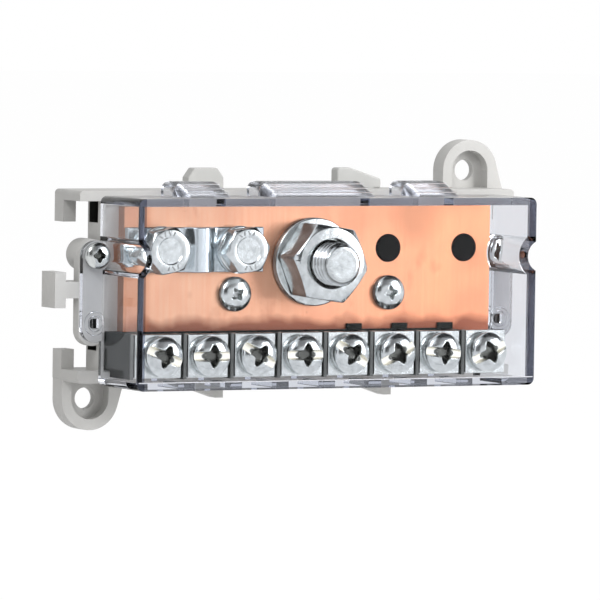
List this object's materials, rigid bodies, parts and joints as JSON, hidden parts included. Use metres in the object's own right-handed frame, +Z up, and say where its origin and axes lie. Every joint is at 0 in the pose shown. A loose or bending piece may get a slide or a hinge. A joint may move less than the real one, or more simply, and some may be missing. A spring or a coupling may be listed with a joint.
{
  "type": "power distribution block",
  "caption": "Distribution block: copper busbar with a main stud, linked bolt positions and wire clamps in a grey base under a clear cover.",
  "frame": {"origin": "centre of the rear mounting face, midway between the two screw ears", "axes": "+X to the right along the length, the cover faces -Y, +Z up"},
  "size_m": [0.1207, 0.0335, 0.0666],
  "materials": {
    "base_plastic": "light grey moulded polyamide, fine satin",
    "latch_plastic": "light grey moulded polyamide",
    "black_plastic": "black moulded polyamide",
    "clear_plastic": "clear moulded polycarbonate",
    "copper": "bare copper plate, brushed",
    "zinc_steel": "bright zinc plated steel",
    "tinned_strip": "bright tinned copper strip"
  },
  "bodies": {
    "housing": {"base": "base_plastic", "barrier_comb": "black_plastic", "cover": "clear_plastic", "busbar": "copper", "stud": "zinc_steel", "stud_washer": "zinc_steel", "stud_nut": "zinc_steel", "link_strap": "tinned_strip", "left_link_washer": "zinc_steel", "right_link_washer": "zinc_steel", "left_link_bolt": "zinc_steel", "right_link_bolt": "zinc_steel", "inner_hole_plug": "black_plastic", "outer_hole_plug": "black_plastic", "left_busbar_screw": "zinc_steel", "right_busbar_screw": "zinc_steel", "left_cover_screw": "zinc_steel", "right_cover_screw": "zinc_steel"},
    "clamp_1": {"clamp_plate_1": "zinc_steel"},
    "screw_1": {"clamp_screw_1": "zinc_steel"},
    "clamp_2": {"clamp_plate_2": "zinc_steel"},
    "screw_2": {"clamp_screw_2": "zinc_steel"},
    "clamp_3": {"clamp_plate_3": "zinc_steel"},
    "screw_3": {"clamp_screw_3": "zinc_steel"},
    "clamp_4": {"clamp_plate_4": "zinc_steel"},
    "screw_4": {"clamp_screw_4": "zinc_steel"},
    "clamp_5": {"clamp_plate_5": "zinc_steel"},
    "screw_5": {"clamp_screw_5": "zinc_steel"},
    "clamp_6": {"clamp_plate_6": "zinc_steel"},
    "screw_6": {"clamp_screw_6": "zinc_steel"},
    "clamp_7": {"clamp_plate_7": "zinc_steel"},
    "screw_7": {"clamp_screw_7": "zinc_steel"},
    "clamp_8": {"clamp_plate_8": "zinc_steel"},
    "screw_8": {"clamp_screw_8": "zinc_steel"},
    "left_latch": {"left_rail_latch": "latch_plastic"},
    "right_latch": {"right_rail_latch": "latch_plastic"}
  },
  "joints": [
    {"name": "clamp_1_travel", "type": "slide", "parent": "housing", "child": "clamp_1", "axis": [0, 1, 0], "range_m": [0, 0.0064]},
    {"name": "screw_1_turn", "type": "hinge", "parent": "clamp_1", "child": "screw_1", "pos_m": [-0.042, -0.0294, -0.0151], "axis": [0, 1, 0], "range_deg": [0, 2880]},
    {"name": "clamp_2_travel", "type": "slide", "parent": "housing", "child": "clamp_2", "axis": [0, 1, 0], "range_m": [0, 0.0064]},
    {"name": "screw_2_turn", "type": "hinge", "parent": "clamp_2", "child": "screw_2", "pos_m": [-0.03, -0.0294, -0.0151], "axis": [0, 1, 0], "range_deg": [0, 2880]},
    {"name": "clamp_3_travel", "type": "slide", "parent": "housing", "child": "clamp_3", "axis": [0, 1, 0], "range_m": [0, 0.0064]},
    {"name": "screw_3_turn", "type": "hinge", "parent": "clamp_3", "child": "screw_3", "pos_m": [-0.018, -0.0294, -0.0151], "axis": [0, 1, 0], "range_deg": [0, 2880]},
    {"name": "clamp_4_travel", "type": "slide", "parent": "housing", "child": "clamp_4", "axis": [0, 1, 0], "range_m": [0, 0.0064]},
    {"name": "screw_4_turn", "type": "hinge", "parent": "clamp_4", "child": "screw_4", "pos_m": [-0.006, -0.0294, -0.0151], "axis": [0, 1, 0], "range_deg": [0, 2880]},
    {"name": "clamp_5_travel", "type": "slide", "parent": "housing", "child": "clamp_5", "axis": [0, 1, 0], "range_m": [0, 0.0064]},
    {"name": "screw_5_turn", "type": "hinge", "parent": "clamp_5", "child": "screw_5", "pos_m": [0.006, -0.0294, -0.0151], "axis": [0, 1, 0], "range_deg": [0, 2880]},
    {"name": "clamp_6_travel", "type": "slide", "parent": "housing", "child": "clamp_6", "axis": [0, 1, 0], "range_m": [0, 0.0064]},
    {"name": "screw_6_turn", "type": "hinge", "parent": "clamp_6", "child": "screw_6", "pos_m": [0.018, -0.0294, -0.0151], "axis": [0, 1, 0], "range_deg": [0, 2880]},
    {"name": "clamp_7_travel", "type": "slide", "parent": "housing", "child": "clamp_7", "axis": [0, 1, 0], "range_m": [0, 0.0064]},
    {"name": "screw_7_turn", "type": "hinge", "parent": "clamp_7", "child": "screw_7", "pos_m": [0.03, -0.0294, -0.0151], "axis": [0, 1, 0], "range_deg": [0, 2880]},
    {"name": "clamp_8_travel", "type": "slide", "parent": "housing", "child": "clamp_8", "axis": [0, 1, 0], "range_m": [0, 0.0064]},
    {"name": "screw_8_turn", "type": "hinge", "parent": "clamp_8", "child": "screw_8", "pos_m": [0.042, -0.0294, -0.0151], "axis": [0, 1, 0], "range_deg": [0, 2880]},
    {"name": "left_latch_lift", "type": "slide", "parent": "housing", "child": "left_latch", "axis": [0, 0, 1], "range_m": [0, 0.003]},
    {"name": "right_latch_lift", "type": "slide", "parent": "housing", "child": "right_latch", "axis": [0, 0, 1], "range_m": [0, 0.003]}
  ],
  "couplings": [
    {"joint": "screw_1_turn", "follows": "clamp_1_travel", "rad_per_m": 7854},
    {"joint": "screw_2_turn", "follows": "clamp_2_travel", "rad_per_m": 7854},
    {"joint": "screw_3_turn", "follows": "clamp_3_travel", "rad_per_m": 7854},
    {"joint": "screw_4_turn", "follows": "clamp_4_travel", "rad_per_m": 7854},
    {"joint": "screw_5_turn", "follows": "clamp_5_travel", "rad_per_m": 7854},
    {"joint": "screw_6_turn", "follows": "clamp_6_travel", "rad_per_m": 7854},
    {"joint": "screw_7_turn", "follows": "clamp_7_travel", "rad_per_m": 7854},
    {"joint": "screw_8_turn", "follows": "clamp_8_travel", "rad_per_m": 7854}
  ]
}
